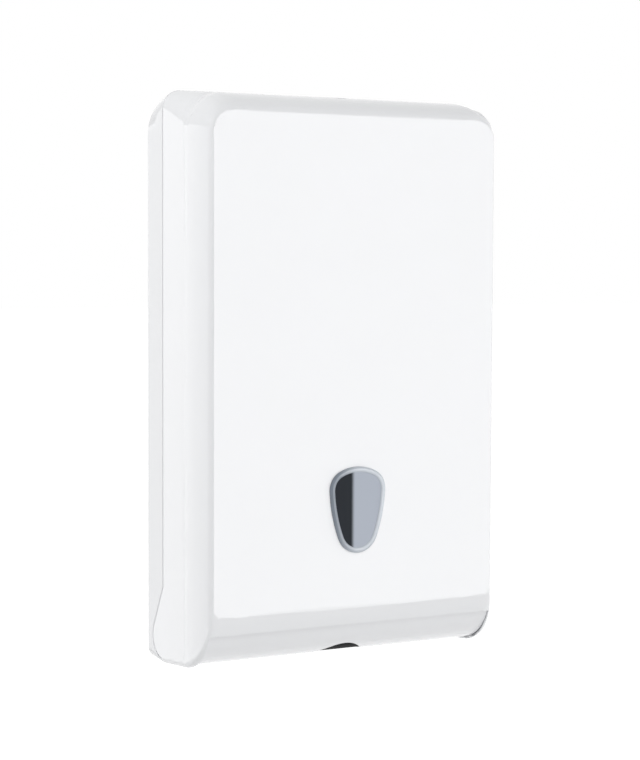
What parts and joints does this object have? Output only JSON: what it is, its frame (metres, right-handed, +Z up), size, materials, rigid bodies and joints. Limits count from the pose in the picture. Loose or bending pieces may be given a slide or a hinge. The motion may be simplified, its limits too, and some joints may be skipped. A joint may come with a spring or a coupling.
{
  "type": "folded paper towel dispenser",
  "caption": "Wall-mounted casing with a hinged front cover, a sprung key latch, a clear level window and an outlet slot for folded paper towels.",
  "frame": {"origin": "centre of the four wall screw holes, on the wall plane", "axes": "+X to the right as seen from the front, +Y into the wall, +Z up"},
  "size_m": [0.262, 0.1082, 0.452],
  "materials": {
    "white_abs": "polished white moulded ABS",
    "clear_pc": "clear moulded polycarbonate",
    "grey_abs": "mid grey moulded ABS",
    "grey_insert": "light grey moulded ABS",
    "steel": "ground steel pin",
    "steel_sheet": "zinc plated bent sheet",
    "spring_steel": "drawn spring wire",
    "screw_steel": "zinc plated screw",
    "acetal": "natural acetal bush",
    "acetal_dark": "black moulded acetal"
  },
  "bodies": {
    "base": {"back_shell": "white_abs", "outlet_tray": "white_abs", "hinge_pin_left": "steel", "hinge_pin_right": "steel", "strike_plate": "steel_sheet", "strike_screws": "screw_steel", "tray_screws": "screw_steel"},
    "cover": {"front_cover": "white_abs", "level_window": "clear_pc", "window_retainer": "grey_abs", "hinge_bush_left": "acetal", "hinge_bush_right": "acetal", "lock_housing": "grey_abs", "latch_pin": "steel", "latch_spring": "spring_steel", "key_escutcheon": "grey_insert", "lock_screws": "screw_steel"},
    "latch": {"latch_lever": "acetal_dark"}
  },
  "joints": [
    {"name": "cover_hinge", "type": "hinge", "parent": "base", "child": "cover", "pos_m": [0, -0.04, -0.2165], "axis": [1, 0, 0], "range_deg": [0, 100]},
    {"name": "latch_rock", "type": "hinge", "parent": "cover", "child": "latch", "pos_m": [0, -0.05, 0.202], "axis": [1, 0, 0], "range_deg": [0, 12], "stiffness_Nm_per_rad": 0.05, "springref_deg": -11.46, "deforming": ["latch_spring"]}
  ]
}
